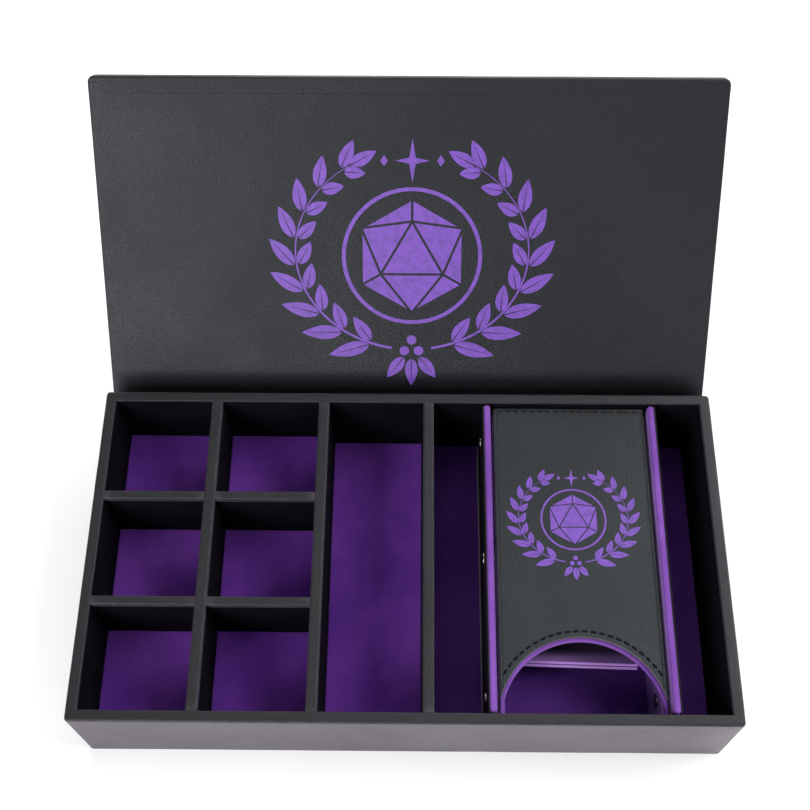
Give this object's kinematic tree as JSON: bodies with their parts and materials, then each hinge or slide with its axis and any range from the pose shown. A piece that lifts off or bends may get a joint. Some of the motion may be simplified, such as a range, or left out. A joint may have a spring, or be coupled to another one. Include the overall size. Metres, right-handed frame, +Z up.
{
  "type": "dice tower box",
  "caption": "Leather-wrapped hinged case with dice cells, a long compartment and a tray bay holding a lift-out arched dice tower.",
  "frame": {"origin": "middle of the case's underside, on the surface that it rests on", "axes": "+X to the right along the front, +Y back to the hinged side, +Z up"},
  "size_m": [0.35, 0.3253, 0.1863],
  "materials": {
    "leather": "dark charcoal imitation leather, fine grain, soft satin",
    "purple_velvet": "deep purple short-pile velvet",
    "bright_velvet": "bright purple velvet",
    "dark_lining": "black lining cloth",
    "greyboard": "dense pressed board",
    "base_felt": "black felt",
    "magnet": "nickel-plated magnet",
    "stud_metal": "polished press stud"
  },
  "bodies": {
    "case": {"base_sheet": "base_felt", "base_board": "greyboard", "front_board": "greyboard", "rear_board": "greyboard", "left_board": "greyboard", "right_board": "greyboard", "left_wall_magnet": "magnet", "right_wall_magnet": "magnet", "outer_wrap": "leather", "inner_lining": "dark_lining", "cell_divider_long": "leather", "cell_block_side": "leather", "bay_side": "leather", "cell_divider_cross_1": "leather", "cell_divider_cross_2": "leather", "cell_pad_1": "purple_velvet", "cell_pad_2": "purple_velvet", "cell_pad_3": "purple_velvet", "cell_pad_4": "purple_velvet", "cell_pad_5": "purple_velvet", "cell_pad_6": "purple_velvet", "middle_pad": "purple_velvet", "bay_pad": "purple_velvet", "hinge_strap": "leather"},
    "lid": {"lid_cover": "leather", "lid_board": "greyboard", "lid_lining": "leather", "left_lid_magnet": "magnet", "right_lid_magnet": "magnet"},
    "tower": {"tower_back": "purple_velvet", "tower_face": "leather", "tower_face_lining": "bright_velvet", "mouth_ramp": "bright_velvet", "middle_ramp": "bright_velvet", "entry_ramp": "bright_velvet", "left_inner_wall": "bright_velvet", "right_inner_wall": "bright_velvet", "left_panel_hinge": "leather", "right_panel_hinge": "leather", "left_stud_head_front": "stud_metal", "left_stud_head_middle": "stud_metal", "left_stud_head_rear": "stud_metal", "right_stud_head_front": "stud_metal", "right_stud_head_middle": "stud_metal", "right_stud_head_rear": "stud_metal"},
    "left_panel": {"left_outer_panel": "bright_velvet", "left_stud_cap_front": "stud_metal", "left_stud_cap_middle": "stud_metal", "left_stud_cap_rear": "stud_metal"},
    "right_panel": {"right_outer_panel": "bright_velvet", "right_stud_cap_front": "stud_metal", "right_stud_cap_middle": "stud_metal", "right_stud_cap_rear": "stud_metal"}
  },
  "joints": [
    {"name": "lid_hinge", "type": "hinge", "parent": "case", "child": "lid", "pos_m": [0, 0.093, 0.0524], "axis": [-1, 0, 0], "range_deg": [-131, 0], "deforming": ["hinge_strap"]},
    {"name": "tower_lift", "type": "slide", "parent": "case", "child": "tower", "axis": [0, 0, 1], "range_m": [0, 0.1]},
    {"name": "left_panel_swing", "type": "hinge", "parent": "tower", "child": "left_panel", "pos_m": [0.0435, 0, 0.01075], "axis": [0, -1, 0], "range_deg": [0, 28], "deforming": ["left_panel_hinge"]},
    {"name": "right_panel_swing", "type": "hinge", "parent": "tower", "child": "right_panel", "pos_m": [0.1435, 0, 0.01075], "axis": [0, 1, 0], "range_deg": [0, 28], "deforming": ["right_panel_hinge"]}
  ]
}
